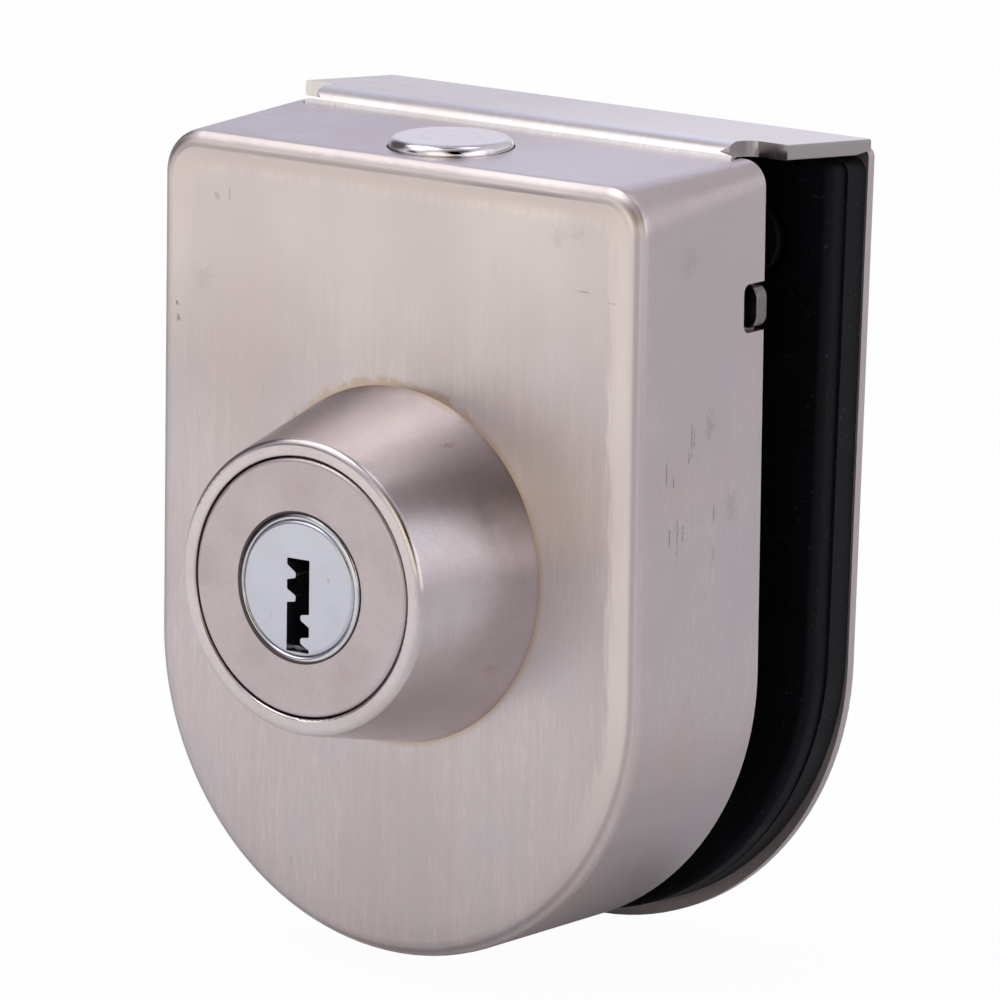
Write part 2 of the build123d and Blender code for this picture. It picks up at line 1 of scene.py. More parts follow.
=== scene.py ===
# %% [markdown]
# This lesson dresses a glass cabinet door lock. A model made elsewhere holds the pieces at their real size,
# and they are loaded as a fixed frame. What is left for Blender is what the eye sees: brushed and turned
# stainless steel, chrome, black rubber, and the light that they stand in.

import math

import bmesh
import bpy
from mathutils import Matrix, Vector


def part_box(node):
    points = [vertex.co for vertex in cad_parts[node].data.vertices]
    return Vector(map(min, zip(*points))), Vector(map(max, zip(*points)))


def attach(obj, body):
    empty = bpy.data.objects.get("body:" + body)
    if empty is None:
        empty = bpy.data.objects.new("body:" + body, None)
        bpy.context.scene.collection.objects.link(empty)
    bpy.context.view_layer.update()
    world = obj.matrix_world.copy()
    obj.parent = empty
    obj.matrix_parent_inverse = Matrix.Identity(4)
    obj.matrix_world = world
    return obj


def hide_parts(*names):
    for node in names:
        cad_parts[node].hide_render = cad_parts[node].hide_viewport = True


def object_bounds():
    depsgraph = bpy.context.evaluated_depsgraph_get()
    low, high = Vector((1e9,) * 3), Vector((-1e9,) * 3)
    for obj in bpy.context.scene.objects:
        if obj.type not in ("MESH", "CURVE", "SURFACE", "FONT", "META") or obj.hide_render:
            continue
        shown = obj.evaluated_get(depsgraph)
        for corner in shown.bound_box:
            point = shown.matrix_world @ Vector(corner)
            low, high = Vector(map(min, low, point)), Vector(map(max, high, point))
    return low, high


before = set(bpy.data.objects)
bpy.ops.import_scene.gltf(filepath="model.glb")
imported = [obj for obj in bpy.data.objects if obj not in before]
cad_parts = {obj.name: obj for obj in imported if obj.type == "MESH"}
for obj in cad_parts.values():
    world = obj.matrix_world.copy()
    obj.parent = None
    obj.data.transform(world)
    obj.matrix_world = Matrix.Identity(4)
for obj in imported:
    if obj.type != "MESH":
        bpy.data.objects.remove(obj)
cad_low, cad_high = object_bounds()

# %% [markdown]
# Sizes are in metres, and most of this lock is a few millimetres, so a millimetre gets a name. The places
# that the new pieces and the marks need come from the boxes of the loaded pieces, so that nothing has to be
# fitted by eye. The case's top is a little higher in its middle than at its edges.

# %% Places on the lock
mm = 0.001
top_crown = 0.3 * mm
case_low, case_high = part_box("case_cover")
case_half = case_high.x
case_height = case_high.z - case_low.z
case_arc_z = case_low.z + case_half
case_top_z = case_high.z - top_crown
rose_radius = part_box("rose")[1].x
bolt_low, bolt_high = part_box("bolt")
bolt_y = (bolt_low.y + bolt_high.y) / 2
print("case is", round(2 * case_half / mm, 1), "mm wide and", round(case_height / mm, 1), "mm tall")

# %% [markdown]
# A procedural material is a small machine of nodes. Adding each node takes three calls, which hides what the
# machine does, so one helper adds a node, sets its values and plugs in what feeds it. A value can be a plain
# number or another node's output.


# %% Helpers that make and fill nodes
def new_material(name, colour, metallic, roughness):
    """A material and its main shader, with the values that are the same all over the surface."""
    material = bpy.data.materials.new(name)
    material.use_nodes = True
    shader = material.node_tree.nodes["Principled BSDF"]
    shader.inputs["Base Color"].default_value = (*colour, 1)
    shader.inputs["Metallic"].default_value = metallic
    shader.inputs["Roughness"].default_value = roughness
    return material, shader


def add(tree, kind, values, output=0, **settings):
    """Add a node, fill its inputs with numbers or with other nodes' outputs, and give one of its outputs."""
    node = tree.nodes.new("ShaderNode" + kind)
    for setting, choice in settings.items():
        setattr(node, setting, choice)
    for socket, value in values.items():
        if isinstance(value, bpy.types.NodeSocket):
            tree.links.new(value, node.inputs[socket])
        else:
            node.inputs[socket].default_value = value
    return node.outputs[output]


def plug_in(tree, shader, **sockets):
    """Feed the shader's sockets."""
    for name, output in sockets.items():
        tree.links.new(output, shader.inputs[name.replace("_", " ")])


def dress(material, *nodes):
    """Give a material to loaded pieces, in place of their plain one."""
    for name in nodes:
        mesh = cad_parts[name].data
        mesh.materials.clear()
        mesh.materials.append(material)
    print(material.name, "on", ", ".join(nodes))


# %% [markdown]
# All finishes here are made of a few building blocks: a soft random pattern, a stretch from one range of
# numbers to another, a sum, a mix of two colours, and a bump that bends the surface direction. Each gets a
# short name, so that a material below reads like a recipe.


# %% Building blocks of a finish
def surface_place(tree, scale=(1, 1, 1), location=(0, 0, 0)):
    """Place on the object in metres, stretched along the axes."""
    place = add(tree, "TexCoord", {}, "Object")
    return add(tree, "Mapping", {"Vector": place, "Scale": scale, "Location": location})


def noise(tree, vector, scale, detail=2.0, roughness=0.5):
    """Soft random pattern between 0 and 1; scale is how many of its spots there are in a metre."""
    values = {"Vector": vector, "Scale": scale, "Detail": detail, "Roughness": roughness}
    return add(tree, "TexNoise", values, "Fac")


def remap(tree, value, low, high, to_low=0.0, to_high=1.0):
    """Stretch a value from one range to another, with smooth ends."""
    values = {"Value": value, "From Min": low, "From Max": high, "To Min": to_low, "To Max": to_high}
    return add(tree, "MapRange", values, interpolation_type="SMOOTHSTEP")


def maths(tree, operation, first, second=0.0):
    """One sum on numbers."""
    return add(tree, "Math", {0: first, 1: second}, operation=operation)


def times(tree, first, *others):
    """Product of two or more numbers."""
    for other in others:
        first = maths(tree, "MULTIPLY", first, other)
    return first


def mix(tree, share, first, second):
    """Mix two colours; a share of 0 gives the first."""
    values = {"Factor": share}
    values[6] = first if isinstance(first, bpy.types.NodeSocket) else (*first, 1)
    values[7] = second if isinstance(second, bpy.types.NodeSocket) else (*second, 1)
    return add(tree, "Mix", values, 2, data_type="RGBA")


def tinted(colour, *shares):
    """A colour with each of its channels made a share of what it was; one share serves all three."""
    shares = shares if len(shares) == 3 else 3 * shares
    return tuple(min(1.0, channel * share) for channel, share in zip(colour, shares))


def bump(tree, height, distance, strength=1.0, below=None):
    """Surface direction bent by a height; below is a bump that this one lies on."""
    values = {"Height": height, "Distance": distance, "Strength": strength}
    if below is not None:
        values["Normal"] = below
    return add(tree, "Bump", values)


# %% [markdown]
# Marks, wear and painted light belong to a place: the rim, the rose's foot, the right wall. The next helpers
# work out where a point of the surface lies, from its coordinates and from the way that the surface faces
# there. They read the object and never the camera, so a mark stays where it is in every view.

# %% Where a point lies
corner_blend = 5 * mm


def place_parts(tree):
    """X, Y and Z of a point on the object, as three numbers."""
    place = add(tree, "TexCoord", {}, "Object")
    return [add(tree, "SeparateXYZ", {0: place}, axis) for axis in "XYZ"]


def facing(tree, axis):
    """How much the surface faces along X, Y or Z, between -1 and 1."""
    return add(tree, "SeparateXYZ", {0: add(tree, "TexCoord", {}, "Normal")}, axis)


def away(tree, first, second):
    """Distance of a point from an axis, from how far it is off that axis in the two directions across it."""
    return maths(tree, "SQRT", maths(tree, "ADD", times(tree, first, first), times(tree, second, second)))


def axis_distance(tree):
    """Distance of a point from the cylinder's axis."""
    x, y, z = place_parts(tree)
    return away(tree, x, z)


def on_front(tree, y, start, end, full=1.0):
    """Share that is full on the case's front, and falls to nothing between two depths in millimetres."""
    return remap(tree, y, case_low.y + start * mm, case_low.y + end * mm, full, 0.0)


def edge_gap(tree):
    """Distance on the case's front to its nearest edge, rounded off where two edges are near."""
    x, y, z = place_parts(tree)
    drop = maths(tree, "MINIMUM", maths(tree, "SUBTRACT", z, case_arc_z), 0.0)
    side_gap = maths(tree, "SUBTRACT", case_half, away(tree, x, drop))
    top_gap = maths(tree, "SUBTRACT", case_top_z, z)
    return add(tree, "Math", {0: side_gap, 1: top_gap, 2: corner_blend}, operation="SMOOTH_MIN")


print("the case's round foot is centred", round(-case_arc_z / mm, 1), "mm below the cylinder's axis")

# %% [markdown]
# The case, the bracket and the back plate are stainless sheet, brushed with a belt. Three things make brushed
# steel: grooves far longer than they are wide, highlights that spread across the grooves, and faint clouds
# where the belt pressed harder. A noise stretched along one axis gives the grooves. They stand upright on the
# walls and run across on faces that look up, so two such noises are mixed by the way that the surface faces.

# %% Grooves of the belt
belt_grooves = 5600
belt_stretch = 11


def groove_pattern(tree, across, stretch, axis):
    """Fine lines along one axis: across is how many there are in a metre."""
    scale = [1.0, 1.0, 1.0]
    scale[axis] = 1 / stretch
    fine = noise(tree, surface_place(tree, scale), across, 3.0, 0.6)
    broad = noise(tree, surface_place(tree, scale, (0.3, 0.2, 0.1)), across / 4, 2.0)
    return maths(tree, "ADD", times(tree, fine, 0.85), times(tree, broad, 0.15))


def belt_pattern(tree, level, upright):
    """Grooves that run across where the surface is level and stand up where it is upright."""
    standing = groove_pattern(tree, belt_grooves, belt_stretch, 2)
    lying = groove_pattern(tree, belt_grooves, belt_stretch, 0)
    return maths(tree, "ADD", times(tree, standing, upright), times(tree, lying, level))


def across_grooves(tree, level, upright):
    """Direction across the grooves, in which a highlight spreads."""
    grain = add(tree, "CombineXYZ", {"X": level, "Y": 0.0, "Z": upright})
    facing_out = add(tree, "NewGeometry", {}, "Normal")
    return add(tree, "VectorMath", {0: facing_out, 1: grain}, operation="CROSS_PRODUCT")


print("a groove is about", round(1 / (belt_grooves * mm), 2), "mm wide")

# %% [markdown]
# Bare sheet isn't one grey. The grooves are lighter and darker, each pass of the belt leaves a faint upright
# band, and there are soft warm and cool clouds a centimetre wide. A few specks and short scratches lie far
# apart: a cell pattern gives each spot a random number, and only the few with a high one are drawn.

# %% Colour of bare sheet
speck_colour = (0.16, 0.14, 0.14)


def sparse_specks(tree):
    """A few short upright scratches and specks, far apart."""
    spread = {"Vector": surface_place(tree, (1, 1, 0.3)), "Scale": 260, "Randomness": 1.0}
    distance = add(tree, "TexVoronoi", spread, "Distance")
    chance = add(tree, "SeparateColor", {0: add(tree, "TexVoronoi", spread, "Color")}, "Red")
    return times(tree, remap(tree, distance, 0.07, 0.02), remap(tree, chance, 0.93, 0.95))


def sheet_shade(tree, colour, grooves, clouds):
    """Colour of bare brushed sheet, from its grooves, the belt's passes, its grain and its clouds."""
    deep = tinted(colour, 0.92)
    passes = noise(tree, surface_place(tree, (1, 0.05, 0.05), (0.7, 0.1, 0.3)), 900, 4.0, 0.6)
    grain = noise(tree, surface_place(tree, (1, 1, 0.4), (0.2, 0.6, 0.1)), 3400, 2.0, 0.6)
    cool_clouds = noise(tree, surface_place(tree, (1, 1, 0.7), (0.4, 0.1, 0.2)), 110, 3.0, 0.55)
    shade = mix(tree, remap(tree, grooves, 0.3, 0.7), deep, tinted(colour, 1.07))
    shade = mix(tree, remap(tree, passes, 0.4, 0.65, 0.0, 0.8), shade, deep)
    shade = mix(tree, remap(tree, grain, 0.45, 0.75, 0.0, 0.7), shade, deep)
    shade = mix(tree, remap(tree, clouds, 0.42, 0.72, 0.0, 0.7), shade, tinted(colour, 0.95, 0.92, 0.89))
    shade = mix(tree, remap(tree, cool_clouds, 0.45, 0.72, 0.0, 0.7), shade, tinted(colour, 0.90, 0.93, 0.97))
    return mix(tree, times(tree, sparse_specks(tree), 0.35), shade, speck_colour)


# %% [markdown]
# Now the sheet's material can be put together. Its stains and painted light are laid over the bare colour one
# after another, and the clouds change the polish too. The bump of the grooves lies on a broader one where the
# sheet has a form that is too shallow to model. Anisotropy stretches each highlight along the tangent, and it
# is the same all over, so it is set on the shader itself.


# %% Brushed sheet
def brushed_sheet(name, colour, roughness, relief=None, stains_and_painted_light=(), duller=None):
    """Brushed stainless sheet.

    relief makes a height that lies under the grooves; each layer, be it a stain or painted light, makes a
    share and has a colour; duller makes the share of places with no polish.
    """
    material, shader = new_material(name, colour, 1.0, roughness)
    tree = material.node_tree
    level = remap(tree, maths(tree, "ABSOLUTE", facing(tree, "Z")), 0.6, 0.8)
    upright = maths(tree, "SUBTRACT", 1.0, level)
    grooves = belt_pattern(tree, level, upright)
    clouds = noise(tree, surface_place(tree, (1, 1, 0.6)), 75, 3.0, 0.55)
    shade = sheet_shade(tree, colour, grooves, clouds)
    # stains and painted light are laid over the colour in turn
    for share, stain in stains_and_painted_light:
        shade = mix(tree, share(tree), shade, stain)
    dull = remap(tree, clouds, 0.3, 0.7, roughness - 0.04, roughness + 0.06)
    if duller is not None:
        dull = maths(tree, "ADD", dull, times(tree, duller(tree), 0.22))
    below = None if relief is None else bump(tree, relief(tree), 1.0)
    shader.inputs["Anisotropic"].default_value = 0.5
    plug_in(
        tree,
        shader,
        Base_Color=shade,
        Roughness=dull,
        Normal=bump(tree, grooves, 0.003 * mm, 0.5, below),
        Tangent=across_grooves(tree, level, upright),
    )
    return material


# %% [markdown]
# Drawing a sheet over a die leaves a soft swell just inside the rolled edge: a tenth of a millimetre, seen
# only in how it bends the highlight, so it is a height for the bump. A bright band just inside the top and
# the right edges is a painted highlight, and a darker line along the crest of the roll is a painted dark
# reflection.

# %% Edges of the case
swell_height = 0.12 * mm


def edge_swell(tree):
    """Height of the soft swell on the case's front: it falls away towards the rolled edge."""
    x, y, z = place_parts(tree)
    fall = remap(tree, edge_gap(tree), 0.4 * mm, 3.4 * mm, -swell_height, 0.0)
    return times(tree, fall, on_front(tree, y, 0.5, 1.0))


def edge_painted_highlight(tree):
    """Share of the painted highlight just inside the top and the right edge, with a ragged inner side."""
    x, y, z = place_parts(tree)
    strokes = noise(tree, surface_place(tree, (1, 1, 0.1)), 1800, 3.0, 0.6)
    ragged = maths(tree, "ADD", edge_gap(tree), remap(tree, strokes, 0.3, 0.7, -0.5 * mm, 0.5 * mm))
    inside = remap(tree, ragged, 2.6 * mm, 3.9 * mm, 0.75, 0.0)
    upper_right = remap(tree, maths(tree, "ADD", x, z), -10 * mm, 20 * mm)
    return times(tree, inside, on_front(tree, y, 0.3, 0.7), upper_right)


def rim_painted_dark_reflection(tree):
    """Share of the painted dark reflection along the crest of the rolled front edge."""
    forward = facing(tree, "Y")
    rise = remap(tree, forward, -0.95, -0.86)
    fall = remap(tree, forward, -0.80, -0.66, 1.0, 0.0)
    return times(tree, rise, fall, 0.4)


print("the swell is", round(swell_height / mm, 2), "mm high")

# %% [markdown]
# The upper front and the right half of the top are brighter: these are painted highlights. Polishing paste
# has left a thin golden stain on the case round the foot of the rose. The bracket's ends are sheared, not
# brushed, so they are duller, and the ends of the tabs that reach through the case's sides get painted shade.


# %% Painted highlights, stain, sheared ends and painted shade
def front_painted_highlight(tree):
    """Share of the painted highlight on the upper part of the front."""
    x, y, z = place_parts(tree)
    return times(tree, remap(tree, z, 14 * mm, 33 * mm), on_front(tree, y, 0.5, 1.5, 0.85))


def top_painted_highlight(tree):
    """Share of the painted highlight on the right half of the faces that look up."""
    x, y, z = place_parts(tree)
    looks_up = remap(tree, facing(tree, "Z"), 0.85, 0.97, 0.0, 0.85)
    return times(tree, remap(tree, x, -14 * mm, 20 * mm), looks_up)


def rose_stain(tree):
    """Thin uneven stain on the case round the rose's foot, that spreads a little at the top."""
    x, y, z = place_parts(tree)
    gap = maths(tree, "SUBTRACT", axis_distance(tree), rose_radius)
    uneven = noise(tree, surface_place(tree), 700, 4.0, 0.65)
    spread = remap(tree, z, 9 * mm, 16 * mm, 0.05, 1.0)
    wide = times(tree, remap(tree, uneven, 0.35, 0.75, 0.0, 0.8 * mm), spread)
    share = remap(tree, maths(tree, "SUBTRACT", gap, wide), -0.1 * mm, 0.7 * mm, 0.7, 0.0)
    return times(tree, share, on_front(tree, y, 0.2, 0.4))


def sheared_ends(tree):
    """Share of the duller sheared metal at the bracket's left and right ends."""
    return remap(tree, maths(tree, "ABSOLUTE", facing(tree, "X")), 0.5, 0.8)


def tab_painted_shade(tree):
    """Share of the painted shade at the ends of the bracket's side tabs, where they sit in the case's side
    windows.
    """
    x, y, z = place_parts(tree)
    out = remap(tree, maths(tree, "ABSOLUTE", x), 26.8 * mm, 27.2 * mm)
    return times(tree, out, remap(tree, z, 31 * mm, 33 * mm, 0.9, 0.0))


# %% [markdown]
# Single marks are named one by one, as a restorer would list them: where each one is, how far it reaches each
# way, and how strong it is. All are in millimetres. A fine noise added to the distance makes their outlines
# ragged. The same helper serves every piece, so the lists stay short.


# %% Spots and scratches
def marks(places):
    """A share that is high in small spots: each has a centre, its reach each way, and a strength."""

    def share(tree):
        ragged = noise(tree, surface_place(tree), 2400, 3.0, 0.6)
        total = 0.0
        for centre, reach, strength in places:
            offset = (Vector(centre) * mm).to_tuple()
            scale = tuple(1 / (length * mm) for length in reach)
            place = add(tree, "TexCoord", {}, "Object")
            place = add(tree, "VectorMath", {0: place, 1: offset}, operation="SUBTRACT")
            place = add(tree, "VectorMath", {0: place, 1: scale}, operation="MULTIPLY")
            apart = add(tree, "VectorMath", {0: place}, "Value", operation="LENGTH")
            apart = maths(tree, "ADD", apart, remap(tree, ragged, 0.3, 0.7, -0.45, 0.45))
            total = maths(tree, "ADD", total, remap(tree, apart, 0.35, 1.0, strength, 0.0))
        return total

    return share


front_y = case_low.y / mm
side_x = case_half / mm
front_smudges = [
    ((18.5, front_y, 33.1), (1.0, 1, 1.3), 0.12),
    ((20.7, front_y, 33.7), (1.3, 1, 0.8), 0.12),
    ((-21.2, front_y, 32.6), (0.5, 1, 0.5), 0.25),
    ((-22.8, front_y, 24.6), (1.2, 1, 1.3), 0.12),
    ((-25.9, front_y, 21.7), (0.22, 1, 0.3), 0.8),
    ((-25.7, front_y, 20.3), (0.22, 1, 0.4), 0.7),
]
front_scratches = [
    ((21.4, front_y, 28.4), (1.0, 1, 0.09), 0.35),
    ((24.7, front_y, 27.7), (0.6, 1, 0.09), 0.4),
    ((-19.7, front_y, 32.5), (0.13, 1, 1.1), 0.3),
]
wall_strokes = [
    ((side_x, y, z), (1, 0.12, length * 0.6), 0.6)
    for y, z, length in (
        (-12.2, 14.0, 3.3),
        (-11.8, 14.3, 1.5),
        (-12.6, 12.6, 1.6),
        (-16.1, 11.6, 2.9),
        (-15.0, 10.4, 1.2),
        (-15.5, 5.4, 2.2),
        (-14.3, 5.3, 3.9),
        (-13.4, 5.4, 2.0),
        (-8.5, 6.6, 1.5),
        (-8.5, 2.7, 1.0),
    )
]
wall_smears = [
    ((side_x, -9.3, 15.1), (1, 0.8, 1.6), 0.22),
    ((side_x, -5.8, 6.9), (1, 1.1, 1.7), 0.18),
    ((side_x, -13.0, 31.0), (1, 1.5, 2.0), 0.10),
]
bracket_fleck = [((-21.3, -2.4, 38.7), (0.35, 0.35, 0.35), 0.8)]
print("marks on the front:", len(front_smudges) + len(front_scratches))
print("marks on the right wall:", len(wall_strokes) + len(wall_smears))

# %% [markdown]
# The three sheet pieces differ a little. The case is satin and pinkish, with all its marks and painted light.
# The bracket comes from brighter, smoother sheet, with a painted highlight and painted shade. The back plate
# is the dullest, and it gets no stains, because it was hardly handled. The order of the layers is the order
# in which they lie on each other.

# %% Dress the sheet pieces
dark_brown = (0.24, 0.17, 0.15)
dark_grey = (0.15, 0.13, 0.14)
case_stains_and_painted_light = (
    # the next four layers are painted light: three painted highlights and a painted dark reflection
    (front_painted_highlight, (0.72, 0.645, 0.635)),
    (top_painted_highlight, (0.72, 0.65, 0.65)),
    (edge_painted_highlight, (0.80, 0.71, 0.68)),
    (rim_painted_dark_reflection, (0.26, 0.23, 0.25)),
    (rose_stain, (0.50, 0.37, 0.26)),
    (marks(front_smudges), dark_brown),
    (marks(front_scratches), dark_grey),
    (marks(wall_strokes), dark_grey),
    (marks(wall_smears), dark_grey),
)
bracket_stains_and_painted_light = (
    (sheared_ends, (0.42, 0.39, 0.39)),
    # painted shade on the tab ends, then a painted highlight on the top's right half
    (tab_painted_shade, (0.22, 0.20, 0.205)),
    (top_painted_highlight, (0.92, 0.87, 0.865)),
    (marks(bracket_fleck), (0.42, 0.40, 0.10)),
)
case_colour = (0.62, 0.555, 0.555)
bracket_colour = (0.71, 0.665, 0.66)
plate_colour = (0.58, 0.51, 0.50)
case_steel = brushed_sheet("brushed_case_steel", case_colour, 0.34, edge_swell, case_stains_and_painted_light)
bracket_steel = brushed_sheet(
    "brushed_bracket_steel", bracket_colour, 0.22, None, bracket_stains_and_painted_light, sheared_ends
)
plate_steel = brushed_sheet("brushed_plate_steel", plate_colour, 0.36)
dress(case_steel, "case_cover")
dress(bracket_steel, "clamp_bracket")
dress(plate_steel, "back_plate")

# %% [markdown]
# The rose is turned on a lathe and brushed while it spins, so its grooves run round it. Stretching a noise
# won't do here, because there is no straight axis to stretch it along. Each point's direction from the axis
# is shrunk instead, and its distance along the cone kept: points that lie on one circle then read nearly the
# same noise.

# %% Turned steel
groove_run = 1.6 * mm


def round_grooves(tree, strokes):
    """Grooves that run round the cylinder's axis, and the direction outwards from that axis."""
    place = add(tree, "TexCoord", {}, "Object")
    flat = add(tree, "VectorMath", {0: place, 1: (1, 0, 1)}, operation="MULTIPLY")
    outward = add(tree, "VectorMath", {0: flat}, operation="NORMALIZE")
    radius = add(tree, "VectorMath", {0: flat}, "Value", operation="LENGTH")
    along = maths(tree, "ADD", radius, add(tree, "SeparateXYZ", {0: place}, "Y"))
    round_share = add(tree, "VectorMath", {0: outward, "Scale": groove_run}, operation="SCALE")
    ringed = add(tree, "CombineXYZ", {"X": 0.0, "Y": along, "Z": 0.0})
    groove_place = add(tree, "VectorMath", {0: round_share, 1: ringed})
    return noise(tree, groove_place, strokes, 3.0, 0.6), outward


def turned_steel(name, colour, roughness, strokes, anisotropic, depth, stains_and_painted_light=()):
    """Satin steel brushed round the cylinder's axis.

    strokes is how many grooves there are in a metre, and depth how deep they are, in millimetres. Each layer,
    be it a stain or painted shade, makes a share and has a colour.
    """
    material, shader = new_material(name, colour, 1.0, roughness)
    tree = material.node_tree
    grooves, outward = round_grooves(tree, strokes)
    clouds = noise(tree, surface_place(tree), 180, 4.0, 0.6)
    grain = noise(tree, surface_place(tree, (1, 1, 1), (0.3, 0.3, 0.1)), 2600, 3.0, 0.6)
    shade = mix(tree, remap(tree, grain, 0.3, 0.7), tinted(colour, 0.96), tinted(colour, 1.03))
    shade = mix(tree, remap(tree, clouds, 0.45, 0.75, 0.0, 0.7), shade, tinted(colour, 0.93, 0.89, 0.86))
    # stains and painted shade are laid over the colour in turn
    for share, stain in stains_and_painted_light:
        shade = mix(tree, share(tree), shade, stain)
    brush = add(tree, "VectorMath", {0: outward, 1: (0, 1, 0)}, operation="CROSS_PRODUCT")
    facing_out = add(tree, "NewGeometry", {}, "Normal")
    shader.inputs["Anisotropic"].default_value = anisotropic
    plug_in(
        tree,
        shader,
        Base_Color=shade,
        Roughness=remap(tree, clouds, 0.3, 0.7, roughness - 0.03, roughness + 0.05),
        Normal=bump(tree, grooves, depth * mm, 0.5),
        Tangent=add(tree, "VectorMath", {0: facing_out, 1: brush}, operation="CROSS_PRODUCT"),
    )
    return material


print("a full turn is a circle of", round(groove_run / mm, 1), "mm radius in the noise")

# %% [markdown]
# The rose and the flat ring in its mouth share that recipe, but the ring is duller, and its grooves are too
# fine to stretch a highlight. The rose has three rubbed places. The ring has finger smudges, and painted
# shade round its bore, for the gap between the ring and the nose. That shade is widest on the left.

# %% Dress the rose and its ring
bore_radius = 7.06 * mm


def left_share(tree, left, right):
    """One value on the left of the cylinder and another on its right."""
    return remap(tree, place_parts(tree)[0], -5 * mm, 5 * mm, left, right)


def bore_gap_shade(tree):
    """Share of the painted shade round the edge of the ring's bore, for the gap to the nose, widest on the
    left.
    """
    outside = maths(tree, "SUBTRACT", axis_distance(tree), left_share(tree, 0.2 * mm, 0.0))
    return remap(tree, outside, bore_radius, bore_radius + 0.08 * mm, 0.93, 0.0)


ring_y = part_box("cylinder_cap")[0].y / mm
ring_smudges = [
    ((-1.6, ring_y, -9.2), (1.3, 1, 0.6), 0.10),
    ((1.2, ring_y, -9.7), (0.9, 1, 0.6), 0.12),
    ((5.6, ring_y, 8.2), (1.2, 1, 0.5), 0.08),
    ((8.3, ring_y, 6.1), (0.8, 1, 0.3), 0.10),
    ((-6.5, ring_y, -9.5), (1.8, 1, 0.8), 0.06),
]
rose_marks = [
    ((9.5, -25.0, 13.2), (1.0, 1.2, 0.3), 0.5),
    ((14.3, -24.5, -7.5), (0.4, 1.6, 1.2), 0.2),
    ((15.6, -22.6, 3.5), (0.5, 1.4, 0.8), 0.2),
]
rose_colour = (0.63, 0.575, 0.58)
ring_colour = (0.57, 0.50, 0.515)
rose_stains = ((marks(rose_marks), (0.42, 0.30, 0.22)),)
# the ring's smudges are real; the dark line round its bore is painted shade for the gap to the nose
ring_stains_and_painted_shade = ((marks(ring_smudges), (0.30, 0.26, 0.29)), (bore_gap_shade, (0.05, 0.04, 0.045)))
rose_steel = turned_steel("turned_rose_steel", rose_colour, 0.18, 4600, 0.85, 0.009, rose_stains)
ring_steel = turned_steel("face_ring_steel", ring_colour, 0.36, 3200, 0.0, 0.0006, ring_stains_and_painted_shade)
dress(rose_steel, "rose")
dress(ring_steel, "cylinder_cap")

# %% [markdown]
# Chrome is nearly a mirror, so what it shows is the light round it. It only needs a slightly cool colour, a
# low roughness, and a very faint unevenness, without which it looks like glass. The bolt's flat top keeps the
# ring and the centre that the lathe left in it, and the outside of the cylinder's nose has painted shade, for
# the gap between it and the ring.

# %% Chrome
lathe_ring_radius = 2.75 * mm


def chrome(name, colour, roughness, ripple, stains_and_painted_light=()):
    """Plated chrome, with a faint ripple in the plating; each layer, be it a stain or painted shade, makes a
    share and has a colour.
    """
    material, shader = new_material(name, colour, 1.0, roughness)
    tree = material.node_tree
    waves = noise(tree, surface_place(tree), 380, 2.0)
    haze = noise(tree, surface_place(tree, (1, 1, 1), (0.5, 0.2, 0.7)), 500, 3.0)
    dull = remap(tree, haze, 0.35, 0.75, roughness * 0.9, roughness * 1.15)
    shade = mix(tree, remap(tree, haze, 0.4, 0.8, 0.0, 0.5), colour, tinted(colour, 0.96))
    # stains and painted shade are laid over the colour in turn
    for share, stain in stains_and_painted_light:
        shade = mix(tree, share(tree), shade, stain)
    plug_in(tree, shader, Base_Color=shade, Roughness=dull, Normal=bump(tree, waves, ripple))
    return material


def lathe_ring(tree):
    """Share of the turned ring on the bolt's top, broken in places, and of the small mark at its centre."""
    x, y, z = place_parts(tree)
    radius = away(tree, x, maths(tree, "SUBTRACT", y, bolt_y))
    off_ring = maths(tree, "ABSOLUTE", maths(tree, "SUBTRACT", radius, lathe_ring_radius))
    ring = remap(tree, off_ring, 0.03 * mm, 0.16 * mm, 0.5, 0.0)
    broken = remap(tree, noise(tree, surface_place(tree), 420, 2.0), 0.35, 0.6)
    centre = remap(tree, radius, 0.1 * mm, 0.4 * mm, 0.5, 0.0)
    return maths(tree, "ADD", times(tree, ring, broken), centre)


def nose_gap_shade(tree):
    """Share of the painted shade round the outside of the cylinder's nose, for the gap to the ring, broad on
    the left.
    """
    inside = maths(tree, "SUBTRACT", axis_distance(tree), left_share(tree, 6.56 * mm, 6.9 * mm))
    return times(tree, remap(tree, inside, 0.0, 0.08 * mm), left_share(tree, 0.96, 0.6))


print("the turned ring is", round(2 * lathe_ring_radius / mm, 1), "mm across")

# %% [markdown]
# The bolt and the nose are bright, and so smooth that only the ripple shows. The plug's face is satin and a
# little blue, with a few brown specks beside the keyway.

# %% Dress the chromed pieces
plug_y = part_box("plug")[0].y / mm
plug_specks = [
    ((3.5, plug_y, 1.2), (0.10, 1, 0.22), 0.8),
    ((3.0, plug_y, 1.9), (0.12, 1, 0.12), 0.5),
    ((-3.1, plug_y, -3.0), (0.12, 1, 0.25), 0.3),
]
bolt_stains = ((lathe_ring, (0.50, 0.42, 0.46)),)
# the dark band round the nose is painted shade, for the gap between it and the ring
nose_painted_shade = ((nose_gap_shade, (0.03, 0.025, 0.03)),)
plug_stains = ((marks(plug_specks), (0.36, 0.22, 0.12)),)
bolt_chrome = chrome("bolt_chrome", (0.80, 0.77, 0.79), 0.08, 0.01 * mm, bolt_stains)
nose_chrome = chrome("cylinder_chrome", (0.70, 0.69, 0.71), 0.08, 0.01 * mm, nose_painted_shade)
plug_chrome = chrome("plug_chrome", (0.565, 0.575, 0.645), 0.22, 0.003 * mm, plug_stains)
dress(bolt_chrome, "bolt")
dress(nose_chrome, "cylinder_body")
dress(plug_chrome, "plug")

